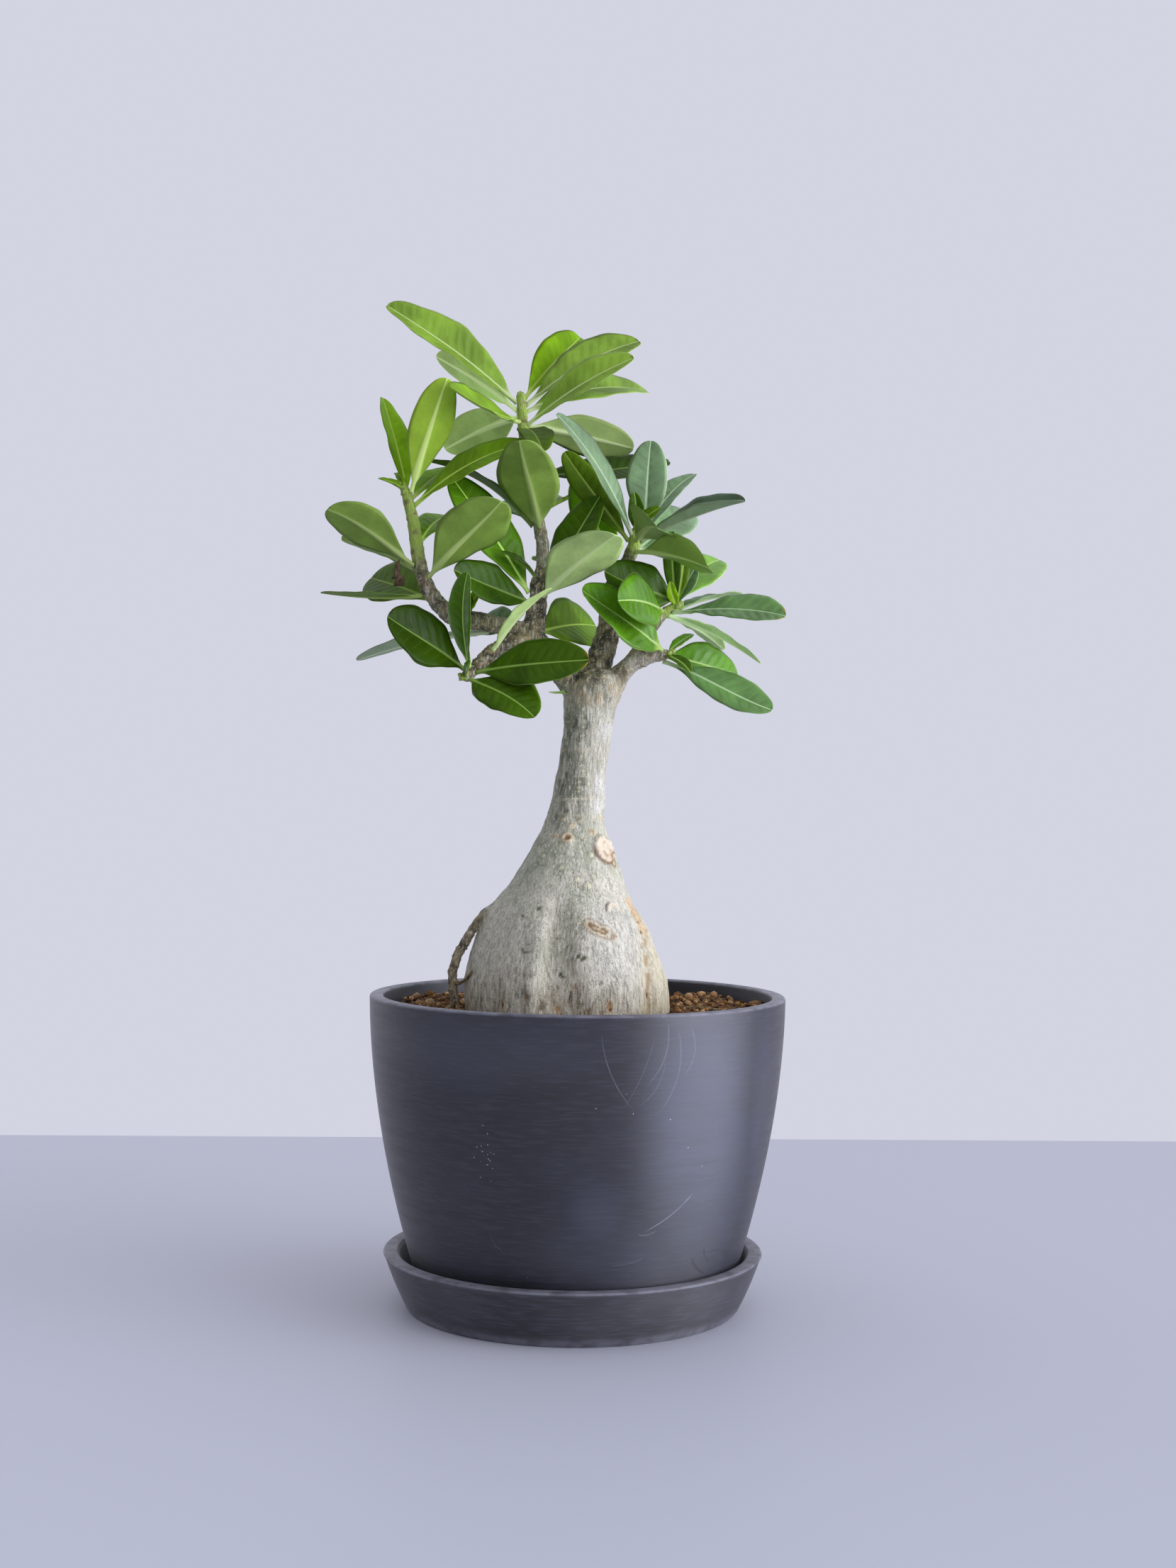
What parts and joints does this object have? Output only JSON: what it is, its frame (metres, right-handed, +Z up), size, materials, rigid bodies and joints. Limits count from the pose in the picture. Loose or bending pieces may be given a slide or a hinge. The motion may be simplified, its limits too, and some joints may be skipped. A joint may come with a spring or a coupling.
{
  "type": "potted desert rose adenium",
  "caption": "Desert rose plant with a swollen caudex, forked branches and spoon-shaped leaves, growing in soil in a round tapered plastic pot that stands in a shallow saucer.",
  "frame": {"origin": "on the pot's axis, on the surface that the saucer stands on", "axes": "+Z up, -Y towards the plant's front, +X to the right of someone who looks at the front"},
  "size_m": [0.191, 0.17, 0.409],
  "materials": {
    "pot": "matte",
    "saucer": "matte",
    "soil": "matte",
    "wood": "matte",
    "leaf": "satin",
    "young_leaf": "satin"
  },
  "bodies": {
    "root": {"saucer": "saucer", "pot": "pot", "soil": "soil", "adenium_wood": "wood", "leaf_crown_01": "young_leaf", "leaf_crown_02": "young_leaf", "leaf_crown_03": "young_leaf", "leaf_crown_04": "young_leaf", "leaf_crown_05": "young_leaf", "leaf_crown_06": "young_leaf", "leaf_crown_07": "young_leaf", "leaf_crown_08": "young_leaf", "leaf_crown_09": "young_leaf", "leaf_crown_10": "young_leaf", "leaf_left_01": "leaf", "leaf_left_02": "leaf", "leaf_left_03": "leaf", "leaf_left_04": "leaf", "leaf_left_05": "leaf", "leaf_left_06": "leaf", "leaf_left_07": "leaf", "leaf_left_08": "leaf", "leaf_left_09": "leaf", "leaf_left_10": "leaf", "leaf_left_11": "leaf", "leaf_low_left_01": "leaf", "leaf_low_left_02": "leaf", "leaf_low_left_03": "leaf", "leaf_low_left_04": "leaf", "leaf_low_left_05": "leaf", "leaf_middle_01": "leaf", "leaf_middle_02": "leaf", "leaf_middle_03": "leaf", "leaf_middle_04": "leaf", "leaf_middle_05": "leaf", "leaf_middle_06": "leaf", "leaf_stem_01": "leaf", "leaf_stem_02": "leaf", "leaf_stem_03": "leaf", "leaf_stem_04": "leaf", "leaf_stem_05": "leaf", "leaf_upper_right_01": "leaf", "leaf_upper_right_02": "leaf", "leaf_upper_right_03": "leaf", "leaf_upper_right_04": "leaf", "leaf_upper_right_05": "leaf", "leaf_upper_right_06": "leaf", "leaf_upper_right_07": "leaf", "leaf_upper_right_08": "leaf", "leaf_upper_right_09": "leaf", "leaf_right_01": "leaf", "leaf_right_02": "leaf", "leaf_right_03": "leaf", "leaf_right_04": "leaf", "leaf_right_05": "leaf", "leaf_right_06": "leaf", "leaf_right_07": "leaf", "leaf_low_right_01": "leaf", "leaf_low_right_02": "leaf", "leaf_low_right_03": "leaf"}
  },
  "joints": []
}
